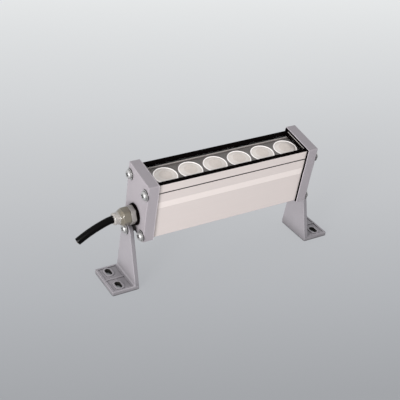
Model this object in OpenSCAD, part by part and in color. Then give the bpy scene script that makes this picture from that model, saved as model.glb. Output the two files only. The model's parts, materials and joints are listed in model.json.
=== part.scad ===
// Outdoor wall washer light: a stepped aluminium profile with six lenses under glass,
// cast end caps, a cable gland, and two cast L brackets that let the lamp tilt.
// Millimetres, +Z up. Origin: on the mounting plane, midway between the two feet.
// X runs along the lamp and -Y is the front. Lamp pieces are drawn upright about the
// tilt axis (Y = 0, Z = 0 there) and then set at the tilt of the rest pose.

/* [Lamp] */
// Spacing of the lenses along the lamp
lens_pitch = 24.8; // [24.6:0.2:28]
// Diameter of a lens face
lens_d = 22.4; // [20:0.2:23]
// Depth of the lamp, front to back, over the end caps
cap_w = 40; // [39.6:0.2:44]
// Height of the lamp over the end caps
cap_h = 62; // [60:0.5:66]
// Thickness of an end cap
cap_t = 10; // [9:0.5:12]
// Thickness of an end gasket
gasket_t = 1; // [0.8:0.1:1.4]
// How far the lower walls step in on each side
wall_step = 0.4; // [0.2:0.05:0.6]
// Thickness of the cover glass
glass_t = 2.3; // [2:0.1:2.4]

/* [Brackets] */
// Thickness of the cast bracket
bracket_t = 4; // [3.5:0.25:4.5]
// Width of a foot, front to back
foot_w = 40; // [36:1:44]
// Length of a foot outside its upright plate
foot_l = 22; // [20:0.5:26]
// Height of the tilt axis above the mounting plane
pivot_h = 54.5; // [50:0.5:65]
// Height of the tilt axis above the bottom edge of the caps
pivot_up = 3.5; // [3:0.25:4.5]
// Gap between a cap and its bracket
bracket_gap = 4; // [3.75:0.25:5]
// Forward tilt of the lamp in the rest pose, in degrees
rest_tilt = 10; // [-30:1:30]

/* [Foot slots] */
// Distance between the two slot centres of a foot
slot_spacing = 22; // [20:0.5:24]
// Width of a slot
slot_w = 5.5; // [5:0.1:6]
// Length of a slot, end to end
slot_l = 10; // [8:0.5:11]
// Distance of the slots from the upright plate
slot_out = 12.5; // [11:0.5:14]

/* [Cable and gland] */
// Diameter of the cable
cable_d = 6.8; // [5:0.2:7]
// Width across the flats of the gland
gland_af = 16; // [15:0.5:16]
// Length of the gland outside the cap
gland_l = 21.5; // [20:0.5:25]

/* [Hidden] */
$fn = 64;

// Levels of the upright lamp, measured from the tilt axis
top = cap_h - pivot_up;
cap_bottom = -pivot_up;
step_high = top - 20.6;
step_low = top - 27.6;
front_top = top - 1.25;
back_top = top - 3.1;
floor_low = cap_bottom + 0.8;
ledge = top - 6.9;
ledge_t = 1.8;
shelf_top = top - 23;
shelf_low = top - 25.6;
floor_top = floor_low + 1.9;

// Widths and lengths of the profile; the caps stand proud of it all round
half_w = cap_w / 2 - 2;
half_low = half_w - wall_step;
wall = 1.9;
lens_count = 6;
housing_l = lens_count * lens_pitch + 2.2;
end_x = housing_l / 2;
corner_r = 1.5;
groove_w = 1;
groove_d = 0.5;
groove_z = top - 10.7;

// End caps: the gasket lies in a pocket, so a narrow gap shows round the profile
cap_in = end_x + 0.5;
cap_face = end_x + gasket_t;
cap_out = cap_in + cap_t;
cap_r = 1.2;
cap_edge = 0.6;
gasket_inset = 0.6;

// Seat of the glass and its seal strips
lip = 0.8;
flange_h = 0.4;
seal_in = half_w - 4.24;
glass_half = seal_in - 0.1;
opening_half = half_w - 5.1;
tray_half = opening_half - 0.2;
end_seal_t = 1.1;

// Screw ports of the profile, as [Y, Z]
port_r = 1.65;
port_wall = 0.45;
port_hi = [half_w - 2.5, top - 11];
port_lo = [half_low - 2.2, floor_low + 4.2];
port_places = [port_hi, port_lo];

// Card guides for the driver board
guide_z = top - 49.2;
board_t = 1.6;
guide_in = 1.6;

// Screws: radius of the cap screws and the pivot bolts, heads, washers
cap_shank_r = 1.6;
bolt_shank_r = 2;
bolt_depth = 8;
head_r = 3.9;
head_h = 2.6;
washer_r = 5.3;
washer_t = 0.8;
screw_l = 22;

// Bracket planes, counted outwards from the middle of the lamp
plate_in = cap_out + bracket_gap;
plate_out = plate_in + bracket_t;
foot_end = plate_out + foot_l;
shoulder_r = 9.4;
shoulder_z = pivot_h + 5.6 - shoulder_r;
play = 0.1;
pivot_r = 2.08;
bend_r = 1.5;
cast_r = 0.6;
pad_d = 0.6;
pad_edge = 2;
rim_w = 1.6;
slot_x = plate_out + slot_out;

// Gland levels
gland_z = 14.5;
oring_t = 2;
gland_hole_r = 6.1;
gland_shank_r = 6;
gland_bore = cable_d / 2 + 0.1;
flange_t = 4.5;
gland_mouth = cap_out + gland_l;
nut_in = cap_out + oring_t + flange_t + 0.1;
sheath_end = end_x - 7.5;

// Lens and emitter levels; the last lens stands close to the end of the profile
tray_top = top - 8;
tray_t = 1.2;
lens_top = top - 6.95;
lens_low = top - 20.6;
pad_top = shelf_top + 0.5;
led_top = pad_top + board_t;
lens_shift = end_x - 0.3 - lens_d / 2 - (lens_count - 1) / 2 * lens_pitch;
strip_end = end_x - 4.5;
strip_start = -end_x + 4;
strip_half = 12;

// Route of the free cable in the upright lamp: distance from the outer face of the left
// cap and height of each point
cable_start = 16;
cable_route = [[16, 14.5], [18.5, 14.5], [21, 14.4], [23.5, 14.1], [26, 13.5], [28.5, 12.6],
    [31, 11.6], [33.5, 10.5], [36, 9.3], [38.5, 8.1], [41, 6.7], [43.5, 5.3], [46, 3.7],
    [48.5, 2], [51, 0.2], [53.4, -1.6]];
// Routes of the inner wires: distance from the end of the profile and height of each point
core_route = [[7.8, 14.5], [11.5, 14.5], [15.5, 14], [19.5, 13.4], [23.5, 13.4]];
led_route = [[23.5, 12.4], [15.5, 12.4], [9.5, 13.5], [5.3, 17], [3.5, 22], [3.5, 30],
    [3.5, 36.2], [3.7, 37.7], [4.4, 38.4], [5.2, 38.4]];

// Points of an arc in a plane, from angle a to angle b
function arc(c, r, a, b, n = 8) =
    [for (i = [0 : n]) let (t = a + (b - a) * i / n) [c.x + r * cos(t), c.y + r * sin(t)]];

// Right-hand half of a closed outline, and the same mirrored and in reverse order
function mirrored(pts) = [for (i = [len(pts) - 1 : -1 : 0]) [-pts[i].x, pts[i].y]];

// Half outline of an end cap, drawn in by the amount inset
function cap_half(inset) = concat(
    arc([cap_w / 2 - wall_step - cap_r, cap_bottom + cap_r], cap_r - inset, -90, 0),
    [[cap_w / 2 - wall_step - inset, step_low], [cap_w / 2 - inset, step_high]],
    arc([cap_w / 2 - cap_r, top - cap_r], cap_r - inset, 0, 90));

function unit(v) = v / norm(v);

// Direction of a route at its point i
function along(p, i) = unit(p[min(i + 1, len(p) - 1)] - p[max(i - 1, 0)]);

// Ring of points round a route that stays in an upright plane along X
function ring(p, i, r, sides) = let (t = along(p, i), u = [0, 1, 0], v = cross(t, u))
    [for (k = [0 : sides - 1]) p[i] + r * (cos(360 * k / sides) * u + sin(360 * k / sides) * v)];

// Round tube along a route, closed at both ends
module tube(p, r, sides = 10) {
    n = len(p);
    points = [for (i = [0 : n - 1]) each ring(p, i, r, sides)];
    skin = [for (i = [0 : n - 2], k = [0 : sides - 1]) let (m = (k + 1) % sides)
        [i * sides + k, (i + 1) * sides + k, (i + 1) * sides + m, i * sides + m]];
    lids = [[for (k = [0 : sides - 1]) k],
        [for (k = [sides - 1 : -1 : 0]) (n - 1) * sides + k]];
    polyhedron(points, concat(skin, lids), convexity = 6);
}

// Stand the lamp on its tilt axis at the tilt of the rest pose
module lamp() {
    translate([0, 0, pivot_h]) rotate([rest_tilt, 0, 0]) children();
}

// Extrude a Y-Z outline along X from x0 to x1
module run_x(x0, x1) {
    translate([x0, 0, 0]) rotate([90, 0, 90]) linear_extrude(x1 - x0, convexity = 8) children();
}

// Turn a shape drawn along +Z so that it points along +X at the place [Y, Z]
module face_x(x, place) {
    translate([x, place.x, place.y]) rotate([0, 90, 0]) children();
}

// Both ends of the lamp from one drawn at +X
module both_ends() {
    for (m = [0, 1]) mirror([m, 0, 0]) children();
}

// Rectangle between two corners
module rect(a, b) {
    translate(a) square(b - a);
}

// The four screw places of an end cap
module at_ports() {
    for (s = [-1, 1], p = port_places) translate([s * p.x, p.y]) children();
}

// Outer outline of the profile: stepped walls, round lower corners, lower wall at the back
module profile_outline() {
    back_lip = back_top - flange_h;
    front_lip = front_top - flange_h;
    polygon(concat(
        arc([half_low - corner_r, floor_low + corner_r], corner_r, -90, 0),
        [[half_low, step_low], [half_w, step_high], [half_w, back_lip], [0, back_lip],
        [0, front_lip], [-half_w, front_lip], [-half_w, step_high], [-half_low, step_low]],
        arc([corner_r - half_low, floor_low + corner_r], corner_r, 180, 270)));
}

// Hollows of the profile: seal channel, glass opening, optics room and driver room
module profile_hollows() {
    rect([lip - half_w, ledge], [half_w - lip, top + 1]);
    rect([-opening_half, shelf_top], [opening_half, top]);
    rect([wall - half_w, shelf_top], [half_w - wall, ledge - ledge_t]);
    rect([wall - half_low, floor_top], [half_low - wall, shelf_low]);
}

// Long groove near the top of both outer walls
module profile_grooves() {
    for (s = [-1, 1]) translate([s * half_w, groove_z]) square([2 * groove_d, groove_w], center = true);
}

// Walls round the screw ports, with webs that join them to the ledge and the floor
module port_walls() {
    web = 1.2;
    at_ports() circle(port_r + port_wall);
    for (m = [0, 1]) mirror([m, 0]) {
        rect([port_hi.x - web, port_hi.y], [half_w - web, ledge - 1]);
        rect([port_lo.x - web, floor_low + 1], [half_low - 1, port_lo.y]);
    }
}

// Pairs of ribs that hold the edges of the driver board
module card_guides() {
    inner = half_low - wall;
    for (s = [-1, 1], z = [guide_z - guide_in - play, guide_z + board_t + play])
        translate([s * inner - (s > 0 ? guide_in : 0.5), z]) square([guide_in + 0.5, guide_in]);
}

module housing() {
    color([0.84, 0.8, 0.79]) lamp() difference() {
        run_x(-end_x, end_x) difference() {
            union() {
                difference() {
                    profile_outline();
                    profile_hollows();
                    profile_grooves();
                }
                port_walls();
                card_guides();
            }
            at_ports() circle(port_r);
        }
        translate([end_x - 2.8, 0, shelf_low - 1]) cylinder(r = 2.2, h = 6);
    }
}

// Black strip beside one edge of the glass, with a flange over the wall, drawn for the back
module seal_strip(strip_top) {
    edge = 0.25;
    run_x(-end_x, end_x) polygon([[seal_in, ledge], [half_w - lip, ledge],
        [half_w - lip, strip_top - flange_h], [half_w, strip_top - flange_h],
        [half_w, strip_top - edge], [half_w - edge, strip_top],
        [seal_in + edge, strip_top], [seal_in, strip_top - edge]]);
}

module front_seal() {
    color([0.05, 0.04, 0.04]) lamp() mirror([0, 1, 0]) seal_strip(front_top);
}

module back_seal() {
    color([0.05, 0.04, 0.04]) lamp() seal_strip(back_top);
}

// Bars that close the two ends of the glass seat
module end_seals() {
    color([0.05, 0.04, 0.04]) lamp() both_ends()
        translate([end_x - end_seal_t, -glass_half, ledge + 0.05])
            cube([end_seal_t, 2 * glass_half, front_top - 0.25 - ledge]);
}

module cover_glass() {
    half_l = end_x - end_seal_t - play;
    color([0.85, 0.9, 0.9, 0.3]) lamp() translate([-half_l, -glass_half, ledge + play])
        cube([2 * half_l, 2 * glass_half, glass_t]);
}

function lens_x(i) = lens_shift + (i - (lens_count + 1) / 2) * lens_pitch;

// Plate round the lens faces, carried by legs that stand on the board
module lens_tray() {
    color([0.45, 0.43, 0.42]) lamp() difference() {
        union() {
            translate([0, 0, tray_top - tray_t / 2])
                cube([housing_l - 0.6, 2 * tray_half, tray_t], center = true);
            for (i = [1.5, 3.5, 5.5], s = [-1, 1]) translate([lens_x(i), s * 10.4, led_top])
                cylinder(r = 1.6, h = tray_top - led_top - 0.4);
        }
        for (i = [1 : lens_count]) translate([lens_x(i), 0, tray_top - tray_t - 1])
            cylinder(r = lens_d / 2 + 0.15, h = tray_t + 2);
    }
}

// Solid collimator: domed face with a rim, conical mirror wall and a pocket for the emitter
module lens(i) {
    r = lens_d / 2;
    rim = lens_top - 0.75;
    color([0.86, 0.83, 0.8]) lamp() translate([lens_x(i), 0, 0]) rotate_extrude() polygon(concat(
        [[0, lens_low + 5]], arc([0, lens_low + 3.2], 2.4, 75, 10, 4),
        [[2.8, lens_low], [5, lens_low], [7.6, lens_low + 3.4], [9.6, lens_low + 7],
        [r - 0.8, rim - 1.6], [r, rim - 1.6], [r, rim], [r - 0.3, rim + 0.25],
        [r - 0.9, rim + 0.25], [r - 1.1, rim - 0.05], [r * 0.6, rim + 0.5], [0, rim + 0.75]]));
}

module led_board() {
    color([0.9, 0.9, 0.88]) lamp() translate([strip_start, -strip_half, pad_top])
        cube([strip_end - strip_start, 2 * strip_half, board_t]);
}

module led_emitters() {
    color([0.95, 0.85, 0.4]) lamp() for (i = [1 : lens_count]) translate([lens_x(i), 0, led_top]) {
        translate([-1.9, -1.9, 0]) cube([3.8, 3.8, 0.8]);
        rotate_extrude() polygon(concat([[0, 0.4]], arc([0, 0.4], 1.5, 0, 90)));
    }
}

module thermal_pad() {
    color([0.6, 0.65, 0.7]) lamp() translate([strip_start, -strip_half, shelf_top])
        cube([strip_end - strip_start, 2 * strip_half, pad_top - shelf_top]);
}

// Driver board in the card guides
module driver_board() {
    edge = half_low - wall - play;
    color([0.1, 0.35, 0.2]) lamp() translate([-54, -edge, guide_z]) cube([110, 2 * edge, board_t]);
}

driver_top = guide_z + board_t;

// Core of two E shapes round a bobbin
module transformer() {
    color([0.2, 0.2, 0.22]) lamp() translate([6, 0, driver_top]) {
        difference() {
            translate([-11, -9, 0]) cube([22, 18, 15]);
            for (s = [-1, 1]) translate([s * 5.6 - 2, -10, 3]) cube([4, 20, 9]);
        }
        translate([-7.5, -10, 3.1]) difference() {
            cube([15, 20, 8.8]);
            translate([3.8, 0.9, -1]) cube([7.4, 18.2, 11]);
            translate([-1, 0.9, -1]) cube([1.4, 18.2, 11]);
            translate([14.6, 0.9, -1]) cube([1.4, 18.2, 11]);
        }
    }
}

module capacitors() {
    color([0.15, 0.15, 0.3]) lamp() for (x = [26, 39]) translate([x, 0, driver_top])
        rotate_extrude() polygon([[0, 0], [5, 0], [5, 13.4], [4.4, 14], [3.6, 14], [3.4, 13.7], [0, 13.7]]);
}

module inductor() {
    color([0.7, 0.4, 0.2]) lamp() translate([-17, 0, driver_top]) rotate_extrude()
        polygon([[0, 0], [6.5, 0], [6.5, 1.4], [4.6, 2.2], [4.6, 7.4], [6.5, 8.2], [6.5, 9.6], [0, 9.6]]);
}

module terminal_block() {
    color([0.2, 0.5, 0.3]) lamp() difference() {
        translate([-52, -7.5, driver_top]) cube([9, 15, 9]);
        for (s = [-1, 0, 1]) translate([-48, s * 4.6, driver_top + 5]) cylinder(r = 1.6, h = 6);
    }
}

// Three cores of the cable that fan out to the terminal block
module cable_cores() {
    color([0.5, 0.3, 0.2]) lamp() for (s = [-1, 0, 1])
        tube([for (i = [0 : len(core_route) - 1]) let (p = core_route[i])
            [p.x - end_x, s * (1.9 + 0.65 * i), p.y]], 0.8, 8);
}

module led_wires() {
    color([0.8, 0.1, 0.1]) lamp() for (s = [-1, 1])
        tube([for (p = led_route) [end_x - p.x, s, p.y]], 0.7, 8);
}

// Quarter round that a cast edge is swept with
module edge_round() {
    rotate_extrude($fn = 16) polygon(concat([[0, 0]], arc([0, 0], cap_edge, 0, 90, 3)));
}

module cap_outline(inset) {
    polygon(concat(cap_half(inset), mirrored(cap_half(inset))));
}

// Cast cap with a round outer edge, drawn at +X; gland_hole adds the cable entry
module cap(gland_hole) {
    difference() {
        translate([cap_in, 0, 0]) rotate([90, 0, 90]) minkowski() {
            linear_extrude(cap_t - cap_edge) cap_outline(cap_edge);
            edge_round();
        }
        run_x(cap_in - 1, cap_face) cap_outline(gasket_inset - 0.05);
        run_x(cap_in - 1, cap_out + 1) at_ports() circle(port_r + 0.1);
        face_x(cap_out - bolt_depth, [0, 0]) cylinder(r = bolt_shank_r + 0.05, h = 9);
        if (gland_hole) face_x(cap_in - 1, [0, gland_z]) cylinder(r = gland_hole_r, h = cap_t + 2);
    }
}

module left_cap() {
    color([0.66, 0.65, 0.67]) lamp() mirror([1, 0, 0]) cap(true);
}

module right_cap() {
    color([0.66, 0.65, 0.67]) lamp() cap(false);
}

// Flat gasket between the profile and a cap, open at both rooms of the profile
module gasket() {
    run_x(end_x, cap_face) difference() {
        cap_outline(gasket_inset);
        at_ports() circle(port_r + 0.1);
        rect([-12, shelf_top + 2], [12, ledge - 3]);
        rect([-12.5, floor_top + 6], [12.5, shelf_low - 3]);
    }
}

module left_gasket() {
    color([0.04, 0.04, 0.04]) lamp() mirror([1, 0, 0]) gasket();
}

module right_gasket() {
    color([0.04, 0.04, 0.04]) lamp() gasket();
}

// Pan head screw along X: its head starts at x and its shank of radius r runs inwards for l
module pan_screw(x, place, r, l) {
    face_x(x, place) difference() {
        union() {
            translate([0, 0, -l]) cylinder(r = r, h = l + 0.5);
            rotate_extrude() polygon(concat([[0, 0], [head_r, 0]],
                arc([head_r - 1.4, head_h - 1.4], 1.4, 0, 60, 4), [[0, head_h]]));
        }
        for (a = [0, 90]) rotate(a) translate([-2.1, -0.5, head_h - 1.4]) cube([4.2, 1, 3]);
    }
}

module washer_x(x, place, bore_r) {
    face_x(x, place) difference() {
        cylinder(r = washer_r, h = washer_t);
        translate([0, 0, -1]) cylinder(r = bore_r, h = washer_t + 2);
    }
}

module cap_screws() {
    color([0.8, 0.8, 0.8]) lamp() both_ends() for (s = [-1, 1], p = port_places)
        pan_screw(cap_out + washer_t, [s * p.x, p.y], cap_shank_r, screw_l);
}

module cap_washers() {
    color([0.7, 0.7, 0.72]) lamp() both_ends() for (s = [-1, 1], p = port_places)
        washer_x(cap_out, [s * p.x, p.y], cap_shank_r + 0.15);
}

module pivot_bolts() {
    color([0.8, 0.8, 0.8]) lamp() both_ends()
        pan_screw(plate_out + play + washer_t, [0, 0], bolt_shank_r, bracket_t + bracket_gap + 6.8);
}

module pivot_washers() {
    color([0.7, 0.7, 0.72]) lamp() both_ends()
        washer_x(plate_out + play, [0, 0], bolt_shank_r + 0.15);
}

// Spacers that hold the caps off the brackets
module pivot_spacers() {
    color([0.7, 0.7, 0.72]) lamp() both_ends() face_x(cap_out, [0, 0]) difference() {
        cylinder(r = 4.1, h = bracket_gap - play);
        translate([0, 0, -1]) cylinder(r = bolt_shank_r + 0.15, h = bracket_gap + 2);
    }
}

// Shape on the axis of the gland, drawn outwards along +Z from the distance x
module on_gland(x) {
    mirror([1, 0, 0]) face_x(x, [0, gland_z]) children();
}

// Round of a hexagon across its flats, with one flat facing down
module hex(af, h) {
    rotate(30) cylinder(r = af / sqrt(3), h = h, $fn = 6);
}

module gland_oring() {
    color([0.04, 0.04, 0.04]) lamp() on_gland(cap_out) rotate_extrude()
        polygon(concat([[gland_hole_r, 0], [9.2, 0]],
            arc([9, oring_t / 2], oring_t / 2, -80, 80, 8), [[9.2, oring_t], [gland_hole_r, oring_t]]));
}

// Hexagon flange with a shank through the cap and a spigot under the dome nut
module gland_body() {
    flange_at = cap_t + oring_t + 4.5;
    color([0.62, 0.6, 0.55]) lamp() on_gland(cap_in - 4.5) difference() {
        union() {
            cylinder(r = gland_shank_r, h = flange_at + flange_t + 5);
            translate([0, 0, flange_at]) intersection() {
                hex(gland_af, flange_t);
                cylinder(r = gland_af / 2 + 0.75, h = flange_t);
            }
        }
        translate([0, 0, -1]) cylinder(r = gland_bore, h = cap_t + 30);
    }
}

// Dome nut: rounded hexagon, then a stepped collar down to the cable
module gland_nut() {
    grip_l = 7.5;
    r = gland_af / 2;
    dome_l = gland_mouth - nut_in - grip_l;
    color([0.62, 0.6, 0.55]) lamp() on_gland(nut_in) difference() {
        union() {
            intersection() {
                hex(gland_af - 0.8, grip_l);
                rotate_extrude() polygon([[0, 0], [r - 0.2, 0], [r + 0.4, 0.6],
                    [r + 0.4, grip_l - 1.2], [r - 0.8, grip_l], [0, grip_l]]);
            }
            rotate_extrude() polygon(concat([[0, grip_l - 1], [r - 0.9, grip_l - 1],
                [r - 0.9, grip_l + 0.8]], arc([r - 2.9, grip_l + 1], 1.6, 0, 80, 5),
                [[r - 2.4, grip_l + 3], [r - 2.4, dome_l + grip_l - 0.8],
                [r - 3.2, dome_l + grip_l], [0, dome_l + grip_l]]));
        }
        translate([0, 0, -1]) cylinder(r = gland_shank_r + 0.1, h = 6.5);
        translate([0, 0, -1]) cylinder(r = gland_bore, h = 40);
    }
}

// Rubber ring that is squeezed onto the cable
module gland_seal() {
    color([0.1, 0.1, 0.1]) lamp() on_gland(cap_out + oring_t + flange_t + 5.05) difference() {
        cylinder(r = gland_shank_r - 0.6, h = 0.45);
        translate([0, 0, -1]) cylinder(r = gland_bore, h = 4);
    }
}

module gland_locknut() {
    color([0.62, 0.6, 0.55]) lamp() on_gland(cap_face - 4) difference() {
        hex(gland_af - 1, 3.9);
        translate([0, 0, -1]) cylinder(r = gland_shank_r + 0.05, h = 6);
    }
}

// Sheathed cable inside the gland, up to where its free stretch starts
module inner_cable() {
    color([0.04, 0.04, 0.04]) lamp() on_gland(sheath_end)
        cylinder(r = cable_d / 2, h = cap_out + cable_start - sheath_end);
}

module cable() {
    color([0.04, 0.04, 0.04]) lamp()
        tube([for (p = cable_route) [-cap_out - p.x, 0, p.y]], cable_d / 2, 12);
}

// Front view of the upright plate, drawn in by the rounding radius of the casting: wide
// foot, straight tapered sides and a round shoulder
module plate_outline() {
    half_foot = foot_w / 2 - cast_r;
    foot_top = bracket_t - cast_r;
    r = shoulder_r - cast_r;
    reach = norm([half_foot, shoulder_z - foot_top]);
    turn = acos(r / reach) - atan2(shoulder_z - foot_top, half_foot);
    half = concat([[half_foot, cast_r], [half_foot, foot_top]], arc([0, shoulder_z], r, turn, 90, 20));
    polygon(concat(half, mirrored(half)));
}

// Fillet between the plate and the foot
module bend_fillet() {
    length = foot_w - 2 * cast_r;
    translate([0, length / 2, 0]) rotate([90, 0, 0]) linear_extrude(length) difference() {
        rect([plate_out - 0.5, bracket_t - 0.5], [plate_out + bend_r, bracket_t + bend_r]);
        translate([plate_out + bend_r, bracket_t + bend_r]) circle(bend_r);
    }
}

// Slot outline, widened all round by grow
module slot(grow) {
    half = (slot_l - slot_w) / 2;
    r = slot_w / 2 + grow;
    translate([slot_x - r, -half]) square([2 * r, 2 * half]);
    for (s = [-1, 1]) translate([slot_x, s * half]) circle(r);
}

// Shallow panels of a foot, one round each slot, with a raised rim at the slot
module foot_pads() {
    y0 = 0.9;
    y1 = foot_w / 2 - pad_edge;
    for (s = [0, 1]) mirror([0, s, 0]) difference() {
        rect([plate_out + bend_r + 0.8, y0], [foot_end - pad_edge, y1]);
        translate([0, slot_spacing / 2]) slot(rim_w);
    }
}

// Cast L bracket with round edges; its bores and slots are cut after the rounding
module bracket() {
    difference() {
        union() {
            minkowski() {
                run_x(plate_in + cast_r, plate_out - cast_r) plate_outline();
                sphere(cast_r, $fn = 12);
            }
            minkowski() {
                translate([plate_in + cast_r, cast_r - foot_w / 2, cast_r])
                    cube([foot_end - plate_in, foot_w, bracket_t] - 2 * cast_r * [1, 1, 1]);
                sphere(cast_r, $fn = 12);
            }
            intersection() {
                bend_fillet();
                run_x(plate_in, foot_end) offset(delta = cast_r) plate_outline();
            }
        }
        for (s = [-1, 1]) translate([0, s * slot_spacing / 2, -1])
            linear_extrude(bracket_t + 2) slot(0);
        translate([0, 0, bracket_t - pad_d]) linear_extrude(pad_d + 1, convexity = 6) foot_pads();
        face_x(plate_in - 1, [0, pivot_h]) cylinder(r = pivot_r, h = bracket_t + 2);
    }
}

module left_bracket() {
    color([0.69, 0.68, 0.7]) mirror([1, 0, 0]) bracket();
}

module right_bracket() {
    color([0.69, 0.68, 0.7]) bracket();
}

left_bracket();
right_bracket();
housing();
front_seal();
back_seal();
end_seals();
cover_glass();
lens_tray();
lens(1);  // lens_1
lens(2);  // lens_2
lens(3);  // lens_3
lens(4);  // lens_4
lens(5);  // lens_5
lens(6);  // lens_6
led_board();
led_emitters();
thermal_pad();
driver_board();
transformer();
capacitors();
inductor();
terminal_block();
cable_cores();
led_wires();
left_cap();
right_cap();
left_gasket();
right_gasket();
cap_screws();
cap_washers();
pivot_bolts();
pivot_washers();
pivot_spacers();
gland_oring();
gland_body();
gland_nut();
gland_seal();
gland_locknut();
inner_cable();
cable();
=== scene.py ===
import json
import math

import bmesh
import bpy
from mathutils import Matrix, Vector


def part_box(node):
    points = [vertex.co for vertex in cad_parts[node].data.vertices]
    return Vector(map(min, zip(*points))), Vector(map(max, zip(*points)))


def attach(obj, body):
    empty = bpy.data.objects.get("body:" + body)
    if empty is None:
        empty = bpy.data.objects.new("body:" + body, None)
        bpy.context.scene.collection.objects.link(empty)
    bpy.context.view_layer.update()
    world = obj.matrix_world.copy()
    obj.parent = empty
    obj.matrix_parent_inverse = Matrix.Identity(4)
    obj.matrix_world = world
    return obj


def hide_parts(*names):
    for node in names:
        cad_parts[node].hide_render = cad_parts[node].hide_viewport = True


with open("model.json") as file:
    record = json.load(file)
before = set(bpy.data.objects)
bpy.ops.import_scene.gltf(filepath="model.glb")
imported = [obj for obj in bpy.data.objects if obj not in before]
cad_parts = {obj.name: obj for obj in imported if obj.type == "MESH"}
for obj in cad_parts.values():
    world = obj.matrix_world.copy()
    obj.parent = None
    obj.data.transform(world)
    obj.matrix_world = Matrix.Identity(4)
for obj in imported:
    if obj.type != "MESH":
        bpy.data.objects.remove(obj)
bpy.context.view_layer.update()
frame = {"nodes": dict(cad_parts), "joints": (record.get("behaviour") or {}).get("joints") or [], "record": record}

scene = bpy.context.scene
mm = 0.001
pivot = Vector(frame["joints"][0]["pos_m"])  # tilt axis of the lamp
restTilt = math.radians(10)  # how far the lamp leans to the front at rest
lampTurn = Matrix.Translation(pivot) @ Matrix.Rotation(restTilt, 4, "X")  # upright lamp -> rest pose

# camera

view = {
    "azimuth": -30.18,
    "elevation": 30.79,
    "roll": 2.58,
    "distance": 0.830,
    "lens": 80.33,  # focal length, for a sensor of this width
    "sensor": 36,
    "nearest": 0.01,
    "aside": -16.66 * mm,  # aim point, from the middle of the tilt axis
    "above": 3.64 * mm,
}


def placeCamera():
    azimuth, elevation, roll = (math.radians(view[key]) for key in ("azimuth", "elevation", "roll"))
    back = Vector((math.sin(azimuth) * math.cos(elevation),
                   -math.cos(azimuth) * math.cos(elevation), math.sin(elevation)))
    right = Vector((math.cos(azimuth), math.sin(azimuth), 0))
    up = back.cross(right)
    aim = pivot + right * view["aside"] + up * view["above"]
    rolledRight = right * math.cos(roll) + up * math.sin(roll)
    rolledUp = back.cross(rolledRight)
    turn = Matrix((rolledRight, rolledUp, back)).transposed().to_4x4()
    data = bpy.data.cameras.new("camera")
    data.lens = view["lens"]
    data.sensor_width = view["sensor"]
    data.clip_start = view["nearest"]
    camera = bpy.data.objects.new("camera", data)
    camera.matrix_world = Matrix.Translation(aim + back * view["distance"]) @ turn
    scene.collection.objects.link(camera)
    scene.camera = camera
    return camera


camera = placeCamera()

# the short cable, on the same route as its solid

cable = {
    "diameter": 6.8 * mm,
    "capFace": 86,  # the route counts from the outer face of the left cap
    "route": [(16, 14.5), (18.5, 14.5), (21, 14.4), (23.5, 14.1), (26, 13.5), (28.5, 12.6),
              (31, 11.6), (33.5, 10.5), (36, 9.3), (38.5, 8.1), (41, 6.7), (43.5, 5.3),
              (46, 3.7), (48.5, 2), (51, 0.2), (53.4, -1.6)],
    "sides": 32,
    "brokenEdge": 0.2 * mm,
    "sharpFrom": math.radians(40),
}


def cablePoints():
    return [lampTurn @ Vector((-(cable["capFace"] + out) * mm, 0, z * mm)) for out, z in cable["route"]]


def makeCable():
    # a ring at the gland is extruded from point to point, and its far edge is broken
    points = cablePoints()
    bm = bmesh.new()
    ring = bmesh.ops.create_circle(bm, cap_ends=True, segments=cable["sides"],
                                   radius=cable["diameter"] / 2)["verts"]
    lastTurn = None
    for here, before, after in zip(points, points[:1] + points, points[1:] + points[-1:]):
        turned = Matrix.Translation(here) @ (after - before).to_track_quat("Z", "Y").to_matrix().to_4x4()
        if lastTurn is None:
            bmesh.ops.transform(bm, matrix=turned, verts=ring)
            front = bm.faces[:]
        else:
            grown = bmesh.ops.extrude_face_region(bm, geom=front, use_keep_orig=here is points[1])["geom"]
            front = [part for part in grown if isinstance(part, bmesh.types.BMFace)]
            bmesh.ops.transform(bm, matrix=turned @ lastTurn.inverted(), verts=front[0].verts)
        lastTurn = turned
    bmesh.ops.bevel(bm, geom=front[0].edges[:], offset=cable["brokenEdge"], segments=2, profile=0.5,
                    affect="EDGES", material=-1)
    bmesh.ops.recalc_face_normals(bm, faces=bm.faces)
    mesh = bpy.data.meshes.new("cableSheath")
    bm.to_mesh(mesh)
    bm.free()
    mesh.shade_smooth()
    mesh.set_sharp_from_angle(angle=cable["sharpFrom"])
    piece = bpy.data.objects.new("cableSheath", mesh)
    scene.collection.objects.link(piece)
    return piece


cablePiece = makeCable()
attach(cablePiece, "lamp")
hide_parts("cable")
print("camera and cable done")

# effects that the materials share


def addNode(nodes, kind, **values):
    node = nodes.new(kind)
    for key, value in values.items():
        if key in node.inputs:
            node.inputs[key].default_value = value
        else:
            setattr(node, key, value)
    return node


def newGroup(name, inputs, outputs):
    group = bpy.data.node_groups.new(name, "ShaderNodeTree")
    for socketName, kind, value in inputs:
        group.interface.new_socket(socketName, in_out="INPUT", socket_type=kind).default_value = value
    for socketName, kind in outputs:
        group.interface.new_socket(socketName, in_out="OUTPUT", socket_type=kind)
    nodes = group.nodes
    return group, nodes, group.links, nodes.new("NodeGroupInput"), nodes.new("NodeGroupOutput")


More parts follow.
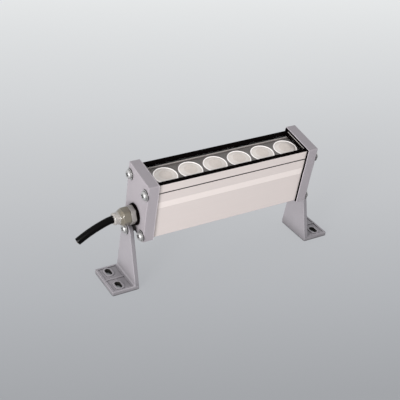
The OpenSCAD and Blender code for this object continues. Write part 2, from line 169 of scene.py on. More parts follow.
def shadeByNoise(nodes, links, texture, inlet, amount, outlet):
    # the noise makes the colour lighter and darker by the amount, and the roughness with it
    swing = addNode(nodes, "ShaderNodeMapRange")
    swing.inputs["To Min"].default_value = -1
    factor = addNode(nodes, "ShaderNodeMath", operation="MULTIPLY_ADD")
    factor.inputs[2].default_value = 1
    tint = addNode(nodes, "ShaderNodeVectorMath", operation="SCALE")
    rough = addNode(nodes, "ShaderNodeMath", operation="MULTIPLY")
    links.new(texture.outputs["Fac"], swing.inputs["Value"])
    links.new(swing.outputs["Result"], factor.inputs[0])
    links.new(inlet.outputs[amount], factor.inputs[1])
    links.new(inlet.outputs["Color"], tint.inputs[0])
    links.new(factor.outputs["Value"], tint.inputs["Scale"])
    links.new(inlet.outputs["Roughness"], rough.inputs[0])
    links.new(factor.outputs["Value"], rough.inputs[1])
    links.new(tint.outputs["Vector"], outlet.inputs["Color"])
    links.new(rough.outputs["Value"], outlet.inputs["Roughness"])


noise = {
    # detail and roughness of each kind of noise
    "mottle": (4, 0.65),
    "grain": (2, 0.55),
    "lines": (3, 0.7),
    "stretch": (0.012, 1, 1),  # draws the lines out along the lamp
}


def addNoise(nodes, kind):
    detail, roughness = noise[kind]
    return addNode(nodes, "ShaderNodeTexNoise", Detail=detail, Roughness=roughness)


def makeGrain():
    # slow mottling and fine grain, for paint, rubber, plastic and screws
    group, nodes, links, inlet, outlet = newGroup("surfaceGrain", [
        ("Color", "NodeSocketColor", (0.5, 0.5, 0.5, 1)), ("Roughness", "NodeSocketFloat", 0.5),
        ("Mottle", "NodeSocketFloat", 0.1), ("Mottle Size", "NodeSocketFloat", 60),
        ("Grain Size", "NodeSocketFloat", 1500)],
        [("Color", "NodeSocketColor"), ("Roughness", "NodeSocketFloat"), ("Height", "NodeSocketFloat")])
    place = addNode(nodes, "ShaderNodeTexCoord")
    slow = addNoise(nodes, "mottle")
    fine = addNoise(nodes, "grain")
    for texture, sizeName in ((slow, "Mottle Size"), (fine, "Grain Size")):
        links.new(place.outputs["Object"], texture.inputs["Vector"])
        links.new(inlet.outputs[sizeName], texture.inputs["Scale"])
    shadeByNoise(nodes, links, slow, inlet, "Mottle", outlet)
    links.new(fine.outputs["Fac"], outlet.inputs["Height"])
    return group


def makeDrawLines():
    # fine lines along the lamp, as an extrusion or drawn strip has
    group, nodes, links, inlet, outlet = newGroup("drawLines", [
        ("Color", "NodeSocketColor", (0.5, 0.5, 0.5, 1)), ("Roughness", "NodeSocketFloat", 0.4),
        ("Lines", "NodeSocketFloat", 0.05), ("Line Size", "NodeSocketFloat", 900)],
        [("Color", "NodeSocketColor"), ("Roughness", "NodeSocketFloat"), ("Height", "NodeSocketFloat")])
    place = addNode(nodes, "ShaderNodeTexCoord")
    stretch = addNode(nodes, "ShaderNodeMapping")
    stretch.inputs["Scale"].default_value = noise["stretch"]
    lines = addNoise(nodes, "lines")
    links.new(place.outputs["Object"], stretch.inputs["Vector"])
    links.new(stretch.outputs["Vector"], lines.inputs["Vector"])
    links.new(inlet.outputs["Line Size"], lines.inputs["Scale"])
    shadeByNoise(nodes, links, lines, inlet, "Lines", outlet)
    links.new(lines.outputs["Fac"], outlet.inputs["Height"])
    return group


def makeBand():
    # 1 between two heights of the upright lamp, 0 outside them
    group, nodes, links, inlet, outlet = newGroup("lampBand", [
        ("Low", "NodeSocketFloat", 0), ("High", "NodeSocketFloat", 1)], [("Mask", "NodeSocketFloat")])
    place = addNode(nodes, "ShaderNodeTexCoord")
    upright = addNode(nodes, "ShaderNodeMapping", vector_type="TEXTURE")
    upright.inputs["Location"].default_value = pivot
    upright.inputs["Rotation"].default_value = (restTilt, 0, 0)
    split = addNode(nodes, "ShaderNodeSeparateXYZ")
    above = addNode(nodes, "ShaderNodeMath", operation="GREATER_THAN")
    below = addNode(nodes, "ShaderNodeMath", operation="LESS_THAN")
    both = addNode(nodes, "ShaderNodeMath", operation="MULTIPLY")
    links.new(place.outputs["Object"], upright.inputs["Vector"])
    links.new(upright.outputs["Vector"], split.inputs["Vector"])
    for test, limit in ((above, "Low"), (below, "High")):
        links.new(split.outputs["Z"], test.inputs[0])
        links.new(inlet.outputs[limit], test.inputs[1])
    links.new(above.outputs["Value"], both.inputs[0])
    links.new(below.outputs["Value"], both.inputs[1])
    links.new(both.outputs["Value"], outlet.inputs["Mask"])
    return group


shadeHighlightTest = {
    # openness at which each effect is full, and at which it ends
    "Corner": (0.3, 0.85),
    "Edge": (0.3, 0.85),
    "Shade": (0.3, 1),
    "samples": 8,
}


def makeShadeAndHighlight():
    # scales the colour as painted shade in inner corners, as a painted highlight along outer edges, and as
    # softer painted shade near other pieces
    group, nodes, links, inlet, outlet = newGroup("paintedShadeAndHighlight", [
        ("Color", "NodeSocketColor", (0.5, 0.5, 0.5, 1)), ("Corner Reach", "NodeSocketFloat", 1 * mm),
        ("Corner Tone", "NodeSocketFloat", 0.2), ("Edge Reach", "NodeSocketFloat", 1 * mm),
        ("Edge Tone", "NodeSocketFloat", 1), ("Shade Reach", "NodeSocketFloat", 1 * mm),
        ("Shade Tone", "NodeSocketFloat", 1)], [("Color", "NodeSocketColor")])
    color = inlet.outputs["Color"]
    for effect in ("Corner", "Edge", "Shade"):
        near = addNode(nodes, "ShaderNodeAmbientOcclusion", samples=shadeHighlightTest["samples"],
                       inside=effect == "Edge")
        tone = addNode(nodes, "ShaderNodeMapRange", interpolation_type="SMOOTHSTEP")
        tone.inputs["From Min"].default_value, tone.inputs["From Max"].default_value = shadeHighlightTest[effect]
        tint = addNode(nodes, "ShaderNodeVectorMath", operation="SCALE")
        links.new(inlet.outputs[effect + " Reach"], near.inputs["Distance"])
        links.new(near.outputs["AO"], tone.inputs["Value"])
        links.new(inlet.outputs[effect + " Tone"], tone.inputs["To Min"])
        links.new(color, tint.inputs[0])
        links.new(tone.outputs["Result"], tint.inputs["Scale"])
        color = tint.outputs["Vector"]
    links.new(color, outlet.inputs["Color"])
    return group


grainGroup, lineGroup, bandGroup, shadeHighlightGroup = makeGrain(), makeDrawLines(), makeBand(), makeShadeAndHighlight()
print("node groups done")

# materials


def newMaterial(name):
    material = bpy.data.materials.new(name)
    material.use_nodes = True
    nodes = material.node_tree.nodes
    return material, nodes, material.node_tree.links, nodes["Principled BSDF"]


def placeGroup(nodes, group, **values):
    node = addNode(nodes, "ShaderNodeGroup", node_tree=group)
    for key, value in values.items():
        socket = node.inputs[key.replace("_", " ")]
        socket.default_value = (*value, 1) if key == "Color" else value
    return node


def bumpFrom(nodes, links, height, shader, strength, depth):
    bump = addNode(nodes, "ShaderNodeBump", Strength=strength, Distance=depth)
    links.new(height, bump.inputs["Height"])
    links.new(bump.outputs["Normal"], shader.inputs["Normal"])


grainBump = 0.5  # strength of the grain on every grained finish
noShade = (1 * mm, 1)

grained = {
    # color, roughness, mottle and its scale, grain scale and depth, then the reach and tone of the painted shade
    # in inner corners and of the painted highlight on outer edges, shade as the reach and tone of the painted
    # shade near other pieces, then the plain values
    "bracket_casting": {"color": (0.330, 0.308, 0.328), "roughness": 0.48, "mottle": (0.06, 90),
                        "grain": (2600, 0.05 * mm), "wear": (1.6 * mm, 0.1, 0.9 * mm, 2),
                        "shade": (18 * mm, 0.5), "Metallic": 0.05, "Specular IOR Level": 0.35},
    "cap_casting": {"color": (0.35, 0.318, 0.338), "roughness": 0.48, "mottle": (0.06, 90),
                    "grain": (2600, 0.05 * mm), "wear": (1.6 * mm, 0.1, 0.7 * mm, 2),
                    "shade": (6 * mm, 0.45), "Metallic": 0.05, "Specular IOR Level": 0.35},
    "black_rubber": {"color": (0.002, 0.0012, 0.0012), "roughness": 0.75, "mottle": (0.2, 200),
                     "grain": (3500, 0.03 * mm), "Specular IOR Level": 0.01},
    "tray": {"color": (0.137, 0.115, 0.105), "roughness": 0.55, "mottle": (0.12, 160),
             "grain": (2500, 0.03 * mm)},
    "gland": {"color": (0.28, 0.245, 0.19), "roughness": 0.34, "mottle": (0.12, 140),
              "grain": (1200, 0.02 * mm), "Coat Weight": 0.7, "Transmission Weight": 0.55,
              "wear": (1 * mm, 0.2, 0.7 * mm, 2.6)},
    "steel": {"color": (0.61, 0.60, 0.595), "roughness": 0.48, "mottle": (0.15, 500),
              "grain": (3000, 0.02 * mm), "wear": (1.4 * mm, 0.03, 0.5 * mm, 1), "Metallic": 0.9},
    "cable": {"color": (0.0012, 0.001, 0.001), "roughness": 0.3, "mottle": (0.15, 120),
              "grain": (3000, 0.02 * mm), "Specular IOR Level": 0.08},
    "white_board": {"color": (0.72, 0.72, 0.68), "roughness": 0.35, "mottle": (0.04, 60),
                    "grain": (1500, 0.01 * mm)},
    "emitter": {"color": (0.80, 0.62, 0.12), "roughness": 0.25, "mottle": (0.08, 700),
                "grain": (4000, 0.01 * mm)},
    "pad": {"color": (0.30, 0.34, 0.40), "roughness": 0.8, "mottle": (0.1, 200),
            "grain": (2500, 0.03 * mm)},
    "green_board": {"color": (0.02, 0.15, 0.06), "roughness": 0.3, "mottle": (0.15, 300),
                    "grain": (900, 0.02 * mm)},
    "ferrite": {"color": (0.03, 0.03, 0.032), "roughness": 0.65, "mottle": (0.2, 300),
                "grain": (2600, 0.03 * mm)},
    "capacitor": {"color": (0.02, 0.022, 0.07), "roughness": 0.3, "mottle": (0.08, 200),
                  "grain": (2000, 0.01 * mm)},
    "winding": {"color": (0.45, 0.18, 0.06), "roughness": 0.35, "mottle": (0.15, 500),
                "grain": (2500, 0.05 * mm), "Metallic": 0.7},
    "terminal": {"color": (0.02, 0.22, 0.08), "roughness": 0.4, "mottle": (0.08, 200),
                 "grain": (2000, 0.02 * mm)},
    "wire": {"color": (0.35, 0.03, 0.02), "roughness": 0.4, "mottle": (0.1, 300),
             "grain": (2500, 0.02 * mm)},
}


def shadedAndHighlighted(nodes, links, color, wear, shade=noShade):
    shadedLit = placeGroup(nodes, shadeHighlightGroup, Corner_Reach=wear[0], Corner_Tone=wear[1], Edge_Reach=wear[2],
                      Edge_Tone=wear[3], Shade_Reach=shade[0], Shade_Tone=shade[1])
    links.new(color, shadedLit.inputs["Color"])
    return shadedLit.outputs["Color"]


def grainedMaterial(name, values):
    material, nodes, links, shader = newMaterial(name)
    grain = placeGroup(nodes, grainGroup, Color=values["color"], Roughness=values["roughness"],
                       Mottle=values["mottle"][0], Mottle_Size=values["mottle"][1],
                       Grain_Size=values["grain"][0])
    color = grain.outputs["Color"]
    if "wear" in values:
        color = shadedAndHighlighted(nodes, links, color, values["wear"], values.get("shade", noShade))
    links.new(color, shader.inputs["Base Color"])
    links.new(grain.outputs["Roughness"], shader.inputs["Roughness"])
    bumpFrom(nodes, links, grain.outputs["Height"], shader, grainBump, values["grain"][1])
    for key, value in values.items():
        if key in shader.inputs:
            shader.inputs[key].default_value = value
    return material


anodised = {
    "color": (0.76, 0.674, 0.642),
    # the up-facing facet between the band heights is painted lighter, as painted light
    "paintedFacetLight": (0.91, 0.815, 0.775),
    # the groove is painted near black, as painted shade
    "paintedGrooveShade": (0.02, 0.017, 0.016),
    "roughness": 0.42,
    "metallic": 0.25,
    "lines": 0.035,
    "lineSize": 1100,
    "lineBump": (0.25, 0.02 * mm),  # strength and depth
    # reach and tone of the painted shade in inner corners and of the painted highlight on outer edges
    "wear": (1.5 * mm, 0.15, 0.5 * mm, 1),
    "bandLow": 30.9 * mm,  # heights above the tilt axis of the upright lamp
    "bandHigh": 37.9 * mm,
    "grooveLow": 47.2 * mm,
    "grooveHigh": 48.4 * mm,
    "ledgeLow": 51.4 * mm,
    "ledgeHigh": 51.8 * mm,
}


def mixInBand(nodes, links, band, outside):
    # a colour mix that keeps the outside colour, except between the band's two heights
    mask = placeGroup(nodes, bandGroup, Low=anodised[band + "Low"], High=anodised[band + "High"])
    mix = addNode(nodes, "ShaderNodeMix", data_type="RGBA")
    links.new(mask.outputs["Mask"], mix.inputs["Factor"])
    links.new(outside, mix.inputs[6])
    return mix.inputs[7], mix.outputs[2]


def profileMaterial():
    material, nodes, links, shader = newMaterial("anodisedProfile")
    lines = placeGroup(nodes, lineGroup, Color=anodised["color"], Roughness=anodised["roughness"],
                       Lines=anodised["lines"], Line_Size=anodised["lineSize"])
    color = lines.outputs["Color"]
    # the up-facing facet is painted lighter as painted light, and the groove near black as painted shade
    for band, paintedBandTone in (("band", "paintedFacetLight"), ("groove", "paintedGrooveShade")):
        within, color = mixInBand(nodes, links, band, color)
        within.default_value = (*anodised[paintedBandTone], 1)
    # the ledge under the glass is left out of the painted shade, so it stays light, though it lies deep
    shadedLit = shadedAndHighlighted(nodes, links, color, anodised["wear"])
    within, finalColor = mixInBand(nodes, links, "ledge", shadedLit)
    links.new(color, within)
    links.new(finalColor, shader.inputs["Base Color"])
    links.new(lines.outputs["Roughness"], shader.inputs["Roughness"])
    shader.inputs["Metallic"].default_value = anodised["metallic"]
    bumpFrom(nodes, links, lines.outputs["Height"], shader, *anodised["lineBump"])
    return material


glass = {
    "color": (0.9, 0.95, 0.95),
    "roughness": 0.04,
    "mottle": (0.05, 30),
    "grainSize": 300,
    "clear": 0.012,  # share of the mirror seen straight on
    "edge": 0.6,  # what a low angle adds to it
    "steepness": 4,
}


def glassMaterial():
    # a thin mirror over what lies below, stronger at a low angle
    material, nodes, links, shader = newMaterial("clearGlass")
    grain = placeGroup(nodes, grainGroup, Color=glass["color"], Roughness=glass["roughness"],
                       Mottle=glass["mottle"][0], Mottle_Size=glass["mottle"][1],
                       Grain_Size=glass["grainSize"])
    sheen = addNode(nodes, "ShaderNodeLayerWeight")
    steep = addNode(nodes, "ShaderNodeMath", operation="POWER")
    steep.inputs[1].default_value = glass["steepness"]
    alpha = addNode(nodes, "ShaderNodeMath", operation="MULTIPLY_ADD")
    alpha.inputs[1].default_value = glass["edge"]
    alpha.inputs[2].default_value = glass["clear"]
    links.new(grain.outputs["Color"], shader.inputs["Base Color"])
    links.new(grain.outputs["Roughness"], shader.inputs["Roughness"])
    links.new(sheen.outputs["Facing"], steep.inputs[0])
    links.new(steep.outputs["Value"], alpha.inputs[0])
    shader.inputs["Metallic"].default_value = 1
    links.new(alpha.outputs["Value"], shader.inputs["Alpha"])
    return material


optic = {
    # the face colour is the optic's own cream, warmed in part as a painted reflection of the yellow emitters
    "faceColor": (0.87, 0.76, 0.69),
    # the ring is painted lighter than the face, as a painted highlight
    "ringHighlightColor": (0.95, 0.86, 0.80),
    "rimHighlightColor": (0.97, 0.915, 0.905),
    "roughness": 0.22,
    "mottle": (0.16, 120),
    "grainSize": 600,
    "coat": 0.3,
    "beadSize": 850,  # small beads moulded into the face
    "beadBump": (0.25, 0.12 * mm),
}


def lensFaceMaterial(name, color):
    material, nodes, links, shader = newMaterial(name)
    grain = placeGroup(nodes, grainGroup, Color=color, Roughness=optic["roughness"],
                       Mottle=optic["mottle"][0], Mottle_Size=optic["mottle"][1],
                       Grain_Size=optic["grainSize"])
    place = addNode(nodes, "ShaderNodeTexCoord")
    beads = addNode(nodes, "ShaderNodeTexVoronoi", feature="SMOOTH_F1", Scale=optic["beadSize"])
    links.new(place.outputs["Object"], beads.inputs["Vector"])
    links.new(grain.outputs["Color"], shader.inputs["Base Color"])
    links.new(grain.outputs["Roughness"], shader.inputs["Roughness"])
    shader.inputs["Coat Weight"].default_value = optic["coat"]
    bumpFrom(nodes, links, beads.outputs["Distance"], shader, *optic["beadBump"])
    return material


# the rim is painted near white as a painted highlight, and its emission is a painted glow
lensRimGlow = {"color": optic["rimHighlightColor"], "roughness": 0.2, "mottle": (0.04, 200), "grain": (900, 0.01 * mm),
           "Coat Weight": 0.4, "Emission Color": (1, 0.95, 0.93, 1), "Emission Strength": 0.3}
finishes = {name: grainedMaterial(name, values) for name, values in grained.items()}
finishes["profile"] = profileMaterial()
finishes["glass"] = glassMaterial()
# lighter copies of the gland's nylon, painted lighter as painted light
glandLitTones = {"glandCollarLit": (0.60, 0.565, 0.535), "glandBodyLit": (0.50, 0.465, 0.44)}
litCollarMaterial, litGlandBodyMaterial = (grainedMaterial(name, {**grained["gland"], "color": color})
                                     for name, color in glandLitTones.items())
finishes["lens"] = lensFaceMaterial("lensFace", optic["faceColor"])
lensRingHighlightMaterial = lensFaceMaterial("lensRingHighlight", optic["ringHighlightColor"])
lensRimGlowMaterial = grainedMaterial("lensRimGlow", lensRimGlow)
slotOf = {row["node"]: row["material_slot"] for row in frame["record"]["subparts"]}
for name, node in frame["nodes"].items():
    node.data.materials.clear()
    node.data.materials.append(finishes[slotOf[name]])
cablePiece.data.materials.append(finishes["cable"])
print("materials done")

# pieces


def addPiece(name, bm, materials, body, slotName, *nodeNames):
    mesh = bpy.data.meshes.new(name)
    bm.to_mesh(mesh)
    bm.free()
    for material in materials:
        mesh.materials.append(material)
    piece = bpy.data.objects.new(name, mesh)
    scene.collection.objects.link(piece)
    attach(piece, body)
    if nodeNames:
        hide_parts(*nodeNames)
    return piece


def smoothPiece(piece, sharpFrom):
    piece.data.shade_smooth()
    piece.data.set_sharp_from_angle(angle=sharpFrom)
    weighted = piece.modifiers.new("weighted", "WEIGHTED_NORMAL")
    weighted.keep_sharp = True


bodyOf = {name: body for body, names in frame["record"]["behaviour"]["bodies"].items() for name in names}

# machined and moulded pieces get a small broken edge; width in mm, 0 for shading alone
edges = {
    "left_bracket": 0, "right_bracket": 0, "left_cap": 0, "right_cap": 0, "housing": 0.12,
    "front_seal": 0, "back_seal": 0, "cap_screws": 0.15, "pivot_bolts": 0.15, "cap_washers": 0.12,
    "pivot_washers": 0.12, "pivot_spacers": 0.1, "gland_body": 0.2, "gland_nut": 0.1, "gland_oring": 0,
    "left_gasket": 0.1, "right_gasket": 0.1, "end_seals": 0,
}
finishing = {
    "mergeWithin": 0.001 * mm,
    "flatWithin": math.radians(0.5),
    "brokenFrom": math.radians(40),  # sharper edges than this are broken
    "segments": 2,
    "sharpFrom": math.radians(38),
}


def softened(name, width):
    # a merged copy of the solid, with its sharp edges broken
    bm = bmesh.new()
    bm.from_mesh(frame["nodes"][name].data)
    bmesh.ops.remove_doubles(bm, verts=bm.verts, dist=finishing["mergeWithin"])
    bmesh.ops.dissolve_limit(bm, angle_limit=finishing["flatWithin"], verts=bm.verts, edges=bm.edges)
    piece = addPiece(name + "Finish", bm, [finishes[slotOf[name]]], bodyOf[name], slotOf[name], name)
    if width:
        bevel = piece.modifiers.new("brokenEdge", "BEVEL")
        bevel.width = width * mm
        bevel.segments = finishing["segments"]
        bevel.limit_method = "ANGLE"
        bevel.angle_limit = finishing["brokenFrom"]
        bevel.use_clamp_overlap = False
        bevel.loop_slide = False
    smoothPiece(piece, finishing["sharpFrom"])
    return piece


finished = {nodeName: softened(nodeName, edgeWidth) for nodeName, edgeWidth in edges.items()}


def giveFaces(piece, material, chosen):
    # the chosen faces of a finished piece get the material
    piece.data.materials.append(material)
    index = len(piece.data.materials) - 1
    for face in piece.data.polygons:
        if chosen(face):
            face.material_index = index


# the body and the collar round the cable are paler copies of the nut's nylon, painted lighter as painted light

collarStart = 102.4 * mm  # from the middle of the lamp

finished["gland_body"].data.materials[0] = litGlandBodyMaterial
giveFaces(finished["gland_nut"], litCollarMaterial, lambda face: abs(face.center.x) > collarStart)
print("edges and gland done")

# the cross recesses of the screw heads are painted dark inside, as painted shade

recess = {"depth": 1.4 * mm, "reach": 2.15 * mm, "slack": 0.05 * mm}
paintedShadeMaterial = grainedMaterial("paintedShadeBlack", {"color": (0.02, 0.018, 0.016), "roughness": 0.5,
                                               "mottle": (0.2, 800), "grain": (3000, 0.02 * mm)})


def washerMiddles(washers):
    middles = []
    bm = bmesh.new()
    bm.from_mesh(frame["nodes"][washers].data)
    bmesh.ops.remove_doubles(bm, verts=bm.verts, dist=finishing["mergeWithin"])
    left = set(bm.verts)
    while left:
        # one washer at a time, spread over its linked corners
        ring, edge = [], [left.pop()]
        while edge:
            corner = edge.pop()
            ring.append(corner.co.copy())
            for link in corner.link_edges:
                other = link.other_vert(corner)
                if other in left:
                    left.remove(other)
                    edge.append(other)
        low = Vector(map(min, zip(*ring)))
        high = Vector(map(max, zip(*ring)))
        middles.append((low + high) / 2)
    bm.free()
    return middles


def paintRecessShade(name, washers):
    # a recess face lies below the top of its head and near the middle of its washer
    piece = finished[name]
    top = max(abs(corner.co.x) for corner in piece.data.vertices)
    middles = washerMiddles(washers)

    def inRecess(face):
        near = min(middles, key=lambda middle: (middle - face.center).length)
        depth = top - abs(face.center.x)
        radius = (face.center - near).yz.length
        return recess["slack"] < depth < recess["depth"] + recess["slack"] and radius < recess["reach"]

    giveFaces(piece, paintedShadeMaterial, inRecess)


paintRecessShade("cap_screws", "cap_washers")
paintRecessShade("pivot_bolts", "pivot_washers")

# the outer edge of each washer is painted dark, and the spacers between the caps and the brackets are
# painted black, both as painted shade

washerRim = {"mostAlong": 0.5}  # largest share of the normal along the screw

for washers in ("cap_washers", "pivot_washers"):
    giveFaces(finished[washers], paintedShadeMaterial, lambda face: abs(face.normal.x) < washerRim["mostAlong"])
finished["pivot_spacers"].data.materials[0] = paintedShadeMaterial
print("screws and washers done")

# the inner top edge of each end seal is painted lighter, as a painted highlight along its lip

sealLip = {
    "from": 74.4 * mm,  # from the middle of the lamp
    "top": 57.05 * mm,  # height above the tilt axis of the upright lamp
    "within": 0.02 * mm,
    "width": 0.45 * mm,
}
lipHighlightFinish = {"color": (0.30, 0.275, 0.26), "roughness": 0.45, "mottle": (0.2, 300),
             "grain": (3000, 0.02 * mm)}


def onLip(corner):
    # for a corner of the upright lamp
    return (abs(abs(corner.x) - sealLip["from"]) < sealLip["within"]
            and abs(corner.z - sealLip["top"]) < sealLip["within"])


def highlightSealLips():
    piece = finished["end_seals"]
    highlightSlot = len(piece.data.materials)
    piece.data.materials.append(grainedMaterial("paintedLipHighlight", lipHighlightFinish))
    upright = lampTurn.inverted()
    bm = bmesh.new()
    bm.from_mesh(piece.data)
    lips = [edge for edge in bm.edges if all(onLip(upright @ corner.co) for corner in edge.verts)]
    grown = bmesh.ops.bevel(bm, geom=lips, offset=sealLip["width"], segments=finishing["segments"],
                            profile=0.5, affect="EDGES", material=-1)
    for face in grown["faces"]:
        face.material_index = highlightSlot
    bm.to_mesh(piece.data)
    bm.free()


highlightSealLips()

# on the brackets, the walls of the foot slots are painted dark and the narrow edge round each plate is
# painted darker, both as painted shade

slotWall = {"reach": 5.6 * mm, "mostUp": 0.3}  # largest share of the normal upwards
# the narrow edge round each plate is painted darker, as painted shade
plateEdgeShade = {"color": (0.245, 0.229, 0.245), "above": 8 * mm, "mostAlong": 0.3}  # and along the lamp
plateEdgeShadeMaterial = grainedMaterial("plateEdgeShade", {**grained["bracket_casting"], "color": plateEdgeShade["color"]})


def finishBracket(side, slots):
    across = slots["pos_m"][0]
    apart = slots["dims"]["spacing_y_mm"] * mm

    def onSlotWall(face):
        # the inner walls of a slot face its middle
        off = face.center.xy - Vector((across, math.copysign(apart / 2, face.center.y)))
        inward = off.dot(face.normal.xy) < 0
        return inward and off.length < slotWall["reach"] and abs(face.normal.z) < slotWall["mostUp"]

    def onPlateEdge(face):
        return face.center.z > plateEdgeShade["above"] and abs(face.normal.x) < plateEdgeShade["mostAlong"]

    giveFaces(finished[side + "_bracket"], paintedShadeMaterial, onSlotWall)
    giveFaces(finished[side + "_bracket"], plateEdgeShadeMaterial, onPlateEdge)


for mount in frame["record"]["mounts"]:
    if mount["kind"] == "bolt_pattern":
        finishBracket(mount["name"].split("_")[0], mount)
print("seals and brackets done")

# lenses: a domed face with two shallow steps, a ring painted lighter as a painted highlight, a raised
# rim painted bright with a painted glow, and the mirror cone below

lens = {
    "domeTop": 51.55 * mm,  # height above the tilt axis of the upright lamp
    "steps": 72,
    "face": [(0, 0), (2.1, -0.02), (4.2, -0.08), (5.9, -0.15), (6.1, -0.24), (7.2, -0.34), (8.4, -0.5),
             (9.4, -0.68), (9.8, -0.82), (10.2, -0.84)],  # radius and depth in mm
    "rim": [(10.35, -0.5), (10.55, -0.42), (10.85, -0.44), (11.05, -0.56), (11.2, -0.8)],
    "skirt": [(11.2, -2.35), (10.4, -2.35), (9.6, -6.65), (7.6, -10.25), (5, -13.65), (2.8, -13.65),
              (2.36, -10.6), (1.4, -8.9), (0, -8.35)],
    # the ring round this middle is painted lighter, as a painted highlight
    "centerRadius": 6 * mm,  # a lighter ring lies round this middle
    "faceDepth": 1 * mm,  # the face lies above this depth
    "rimSlack": 0.1 * mm,
    "mergeWithin": 0.01 * mm,
    "sharpFrom": math.radians(50),
}
lensMaterials = [finishes["lens"], lensRimGlowMaterial, lensRingHighlightMaterial]


def makeLens(nodeName):
    low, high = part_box(nodeName)
    center = lampTurn @ Matrix.Translation(((low[0] + high[0]) / 2, 0, lens["domeTop"]))
    bm = bmesh.new()
    chain = [bm.verts.new((r * mm, 0, z * mm)) for r, z in lens["face"] + lens["rim"] + lens["skirt"]]
    for a, b in zip(chain, chain[1:]):
        bm.edges.new((a, b))
    bmesh.ops.spin(bm, geom=bm.verts[:] + bm.edges[:], axis=(0, 0, 1), cent=(0, 0, 0),
                   angle=math.tau, steps=lens["steps"], use_merge=True)
    bmesh.ops.remove_doubles(bm, verts=bm.verts, dist=lens["mergeWithin"])
    bmesh.ops.recalc_face_normals(bm, faces=bm.faces)
    rimStart = lens["rim"][0][0] * mm - lens["rimSlack"]
    for face in bm.faces:
        middle = face.calc_center_median()
        if middle.xy.length > rimStart:
            face.material_index = lensMaterials.index(lensRimGlowMaterial)
        elif middle.z > -lens["faceDepth"] and middle.xy.length > lens["centerRadius"]:
            face.material_index = lensMaterials.index(lensRingHighlightMaterial)
    bmesh.ops.transform(bm, matrix=center, verts=bm.verts)
    piece = addPiece(nodeName.replace("_", "Piece"), bm, lensMaterials, "lamp", "lens", nodeName)
    smoothPiece(piece, lens["sharpFrom"])


for nodeName, slotName in slotOf.items():
    if slotName == "lens":
        makeLens(nodeName)
print("lenses done")

# cut end of the cable: three cores with their wire ends

cutEnd = {
    "coreRadius": 1.2 * mm,
    "coreRing": 1.55 * mm,
    "proud": 0.3 * mm,
    "length": 2 * mm,
    "wireRadius": 0.7 * mm,
    "sides": 24,
    "turn": math.radians(20),
    "colors": {"brownCore": (0.10, 0.04, 0.02), "blueCore": (0.02, 0.08, 0.25),
               "earthCore": (0.22, 0.26, 0.03)},
    "plastic": {"roughness": 0.4, "mottle": (0.08, 400), "grain": (3000, 0.01 * mm)},
    "wire": {"color": (0.55, 0.27, 0.13), "roughness": 0.35, "mottle": (0.1, 900),
             "grain": (4000, 0.02 * mm), "Metallic": 0.9},
}


def makeCutEnd():
    points = cablePoints()
    out = (points[-1] - points[-2]).normalized()
    frameTurn = Matrix.Translation(points[-1]) @ out.to_track_quat("Z", "Y").to_matrix().to_4x4()
    wireMetal = grainedMaterial("bareWire", cutEnd["wire"])
    for number, (coreName, coreColor) in enumerate(cutEnd["colors"].items()):
        coreMaterials = [grainedMaterial(coreName, {**cutEnd["plastic"], "color": coreColor}), wireMetal]
        angle = cutEnd["turn"] + number * math.tau / len(cutEnd["colors"])
        shift = Vector((math.cos(angle), math.sin(angle), 0)) * cutEnd["coreRing"]
        shift.z = cutEnd["proud"] - cutEnd["length"] / 2
        bm = bmesh.new()
        bmesh.ops.create_cone(bm, cap_ends=True, segments=cutEnd["sides"], radius1=cutEnd["coreRadius"],
                              radius2=cutEnd["coreRadius"], depth=cutEnd["length"])
        top = max(bm.faces, key=lambda face: face.calc_center_median().z)
        bmesh.ops.inset_region(bm, faces=[top], thickness=cutEnd["coreRadius"] - cutEnd["wireRadius"])
        top.material_index = coreMaterials.index(wireMetal)
        bmesh.ops.transform(bm, matrix=frameTurn @ Matrix.Translation(shift), verts=bm.verts)
        addPiece(coreName, bm, coreMaterials, "lamp", "cable")


makeCutEnd()
print("cable end done")

# floor, world and lamps

stage = {
    "floorColor": (0.62, 0.63, 0.64),
    "floorRoughness": 0.9,
    "floorSpecular": 0.1,
    "floorReach": 6,  # metres, half its side
    "backdropShare": 0.86,  # how much of the floor's look is the plain backdrop, the rest takes the shadow
    # the backdrop is painted darker near the camera and lighter far off, as a painted light falloff
    "paintedLightGradient": [  # distance on the floor, and colour there
        (0.51, (0.337, 0.347, 0.367)), (0.636, (0.437, 0.450, 0.473)), (0.81, (0.553, 0.564, 0.583)),
        (1.064, (0.683, 0.697, 0.712)), (1.471, (0.85, 0.865, 0.87))],
    "gradientTurn": math.radians(5),
    "contact": 12 * mm,  # reach of the contact shadow
    "contactOpen": (0.3, 0.56),  # openness at which it is black, and at which it ends
    "skyColor": (0.80, 0.815, 0.82),  # seen past the edge of the floor
    "worldColor": (0.96, 0.98, 1.0),
    "worldStrength": 0.60,
    "key": {"from": (-1.2, -0.75, 0.33), "size": 0.6, "power": 21},
    "fill": {"from": (0.7, -1.1, 0.5), "size": 0.8, "power": 0.9},
    "top": {"from": (0.1, 0.3, 1.3), "size": 1.0, "power": 0.2},
}


def seenDirectly(nodes, links):
    # 1 for camera, glossy and transmission rays
    path = addNode(nodes, "ShaderNodeLightPath")
    total = path.outputs["Is Camera Ray"]
    for kind in ("Is Glossy Ray", "Is Transmission Ray"):
        either = addNode(nodes, "ShaderNodeMath", operation="MAXIMUM")
        links.new(total, either.inputs[0])
        links.new(path.outputs[kind], either.inputs[1])
        total = either.outputs["Value"]
    return total


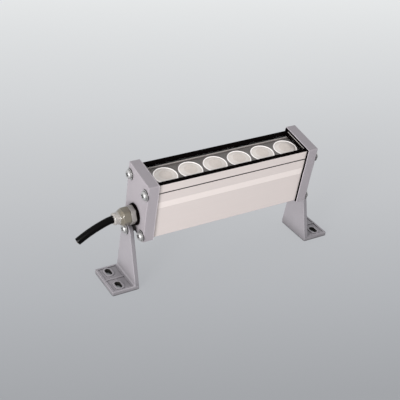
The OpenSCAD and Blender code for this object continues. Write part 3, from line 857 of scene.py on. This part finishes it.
def floorMaterial():
    material, nodes, links, shader = newMaterial("paperSweep")
    shader.inputs["Base Color"].default_value = (*stage["floorColor"], 1)
    shader.inputs["Roughness"].default_value = stage["floorRoughness"]
    shader.inputs["Specular IOR Level"].default_value = stage["floorSpecular"]
    place = addNode(nodes, "ShaderNodeTexCoord")
    along = addNode(nodes, "ShaderNodeMapping", vector_type="TEXTURE")
    along.inputs["Location"].default_value = (*camera.matrix_world.translation.xy, 0)
    along.inputs["Rotation"].default_value = (0, 0, math.radians(view["azimuth"]) + stage["gradientTurn"])
    split = addNode(nodes, "ShaderNodeSeparateXYZ")
    ramp = addNode(nodes, "ShaderNodeValToRGB")
    span = stage["paintedLightGradient"][-1][0]
    scale = addNode(nodes, "ShaderNodeMath", operation="DIVIDE")
    scale.inputs[1].default_value = span
    ramp.color_ramp.interpolation = "LINEAR"
    while len(ramp.color_ramp.elements) < len(stage["paintedLightGradient"]):
        ramp.color_ramp.elements.new(0.5)  # placed below
    for element, (distance, color) in zip(ramp.color_ramp.elements, stage["paintedLightGradient"]):
        element.position = distance / span
        element.color = (*color, 1)
    contact = addNode(nodes, "ShaderNodeAmbientOcclusion", Distance=stage["contact"])
    shade = addNode(nodes, "ShaderNodeMapRange")
    shade.inputs["From Min"].default_value, shade.inputs["From Max"].default_value = stage["contactOpen"]
    tint = addNode(nodes, "ShaderNodeVectorMath", operation="SCALE")
    glow = addNode(nodes, "ShaderNodeEmission")
    mix = addNode(nodes, "ShaderNodeMixShader")
    share = addNode(nodes, "ShaderNodeMath", operation="MULTIPLY")
    share.inputs[1].default_value = stage["backdropShare"]
    links.new(place.outputs["Object"], along.inputs["Vector"])
    links.new(along.outputs["Vector"], split.inputs["Vector"])
    links.new(split.outputs["Y"], scale.inputs[0])
    links.new(scale.outputs["Value"], ramp.inputs["Fac"])
    links.new(contact.outputs["AO"], shade.inputs["Value"])
    links.new(ramp.outputs["Color"], tint.inputs[0])
    links.new(shade.outputs["Result"], tint.inputs["Scale"])
    links.new(tint.outputs["Vector"], glow.inputs["Color"])
    links.new(seenDirectly(nodes, links), share.inputs[0])
    links.new(share.outputs["Value"], mix.inputs["Fac"])
    links.new(shader.outputs["BSDF"], mix.inputs[1])
    links.new(glow.outputs["Emission"], mix.inputs[2])
    links.new(mix.outputs["Shader"], nodes["Material Output"].inputs["Surface"])
    return material


def makeFloor():
    bm = bmesh.new()
    bmesh.ops.create_grid(bm, x_segments=2, y_segments=2, size=stage["floorReach"])
    mesh = bpy.data.meshes.new("floor")
    bm.to_mesh(mesh)
    bm.free()
    floor = bpy.data.objects.new("floor", mesh)
    scene.collection.objects.link(floor)
    mesh.materials.append(floorMaterial())


def makeLamp(name):
    values = stage[name]
    data = bpy.data.lights.new(name, "AREA")
    data.shape = "DISK"
    data.size = values["size"]
    data.energy = values["power"]
    lampObject = bpy.data.objects.new(name, data)
    place = Vector(values["from"])
    aim = (place - pivot).to_track_quat("Z", "Y").to_matrix().to_4x4()
    lampObject.matrix_world = Matrix.Translation(place) @ aim
    scene.collection.objects.link(lampObject)


def makeWorld():
    world = bpy.data.worlds.new("studio")
    scene.world = world
    world.use_nodes = True
    nodes, links = world.node_tree.nodes, world.node_tree.links
    lit = nodes["Background"]
    lit.inputs["Color"].default_value = (*stage["worldColor"], 1)
    lit.inputs["Strength"].default_value = stage["worldStrength"]
    seen = addNode(nodes, "ShaderNodeBackground", Color=(*stage["skyColor"], 1))
    blend = addNode(nodes, "ShaderNodeMixShader")
    links.new(seenDirectly(nodes, links), blend.inputs["Fac"])
    links.new(lit.outputs["Background"], blend.inputs[1])
    links.new(seen.outputs["Background"], blend.inputs[2])
    links.new(blend.outputs["Shader"], nodes["World Output"].inputs["Surface"])


makeWorld()
makeFloor()
for lampName in ("key", "fill", "top"):
    makeLamp(lampName)
scene.view_settings.view_transform = "Standard"
print("stage done")
